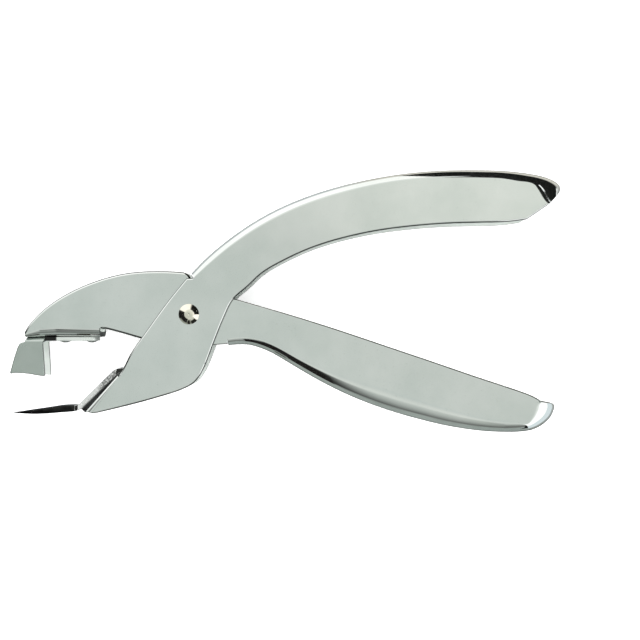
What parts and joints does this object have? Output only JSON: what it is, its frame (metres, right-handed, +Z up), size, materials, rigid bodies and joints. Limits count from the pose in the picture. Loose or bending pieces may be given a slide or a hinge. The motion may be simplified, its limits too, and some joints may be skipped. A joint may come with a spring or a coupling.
{
  "type": "staple remover",
  "caption": "Plier-type staple remover: two sheet-metal channel levers crossing at a domed rivet, with a two-cheeked presser foot and a slim lifting tongue on the jaws.",
  "frame": {"origin": "on the surface the tool lies on, under the middle of its outline", "axes": "+X from the jaws towards the handle ends, +Y towards the upper handle, +Z up along the pivot rivet, out of the side the tool lies on"},
  "size_m": [0.1656, 0.0786, 0.018],
  "materials": {
    "plated_lever": "bright nickel-chrome plate on stamped sheet steel",
    "rivet_chrome": "polished domed head",
    "bare_steel": "plain turned steel",
    "spring_steel": "drawn spring wire",
    "foot_steel": "satin plated plate",
    "tongue_steel": "dark hardened steel"
  },
  "bodies": {
    "outer": {"outer_lever": "plated_lever", "pivot_rivet": "rivet_chrome", "return_spring": "spring_steel", "lifting_tongue": "tongue_steel", "tongue_rivet_upper": "bare_steel", "tongue_rivet_lower": "bare_steel"},
    "inner": {"inner_lever": "plated_lever", "pivot_sleeve": "bare_steel", "presser_foot": "foot_steel", "foot_rivet_front": "bare_steel", "foot_rivet_rear": "bare_steel"}
  },
  "joints": [
    {"name": "handle_pivot", "type": "hinge", "parent": "outer", "child": "inner", "pos_m": [-0.02863, -0.00383, 0.009], "axis": [0, 0, 1], "range_deg": [0, 19.5], "stiffness_Nm_per_rad": 0.25, "springref_deg": -51.57, "deforming": ["return_spring"]}
  ]
}
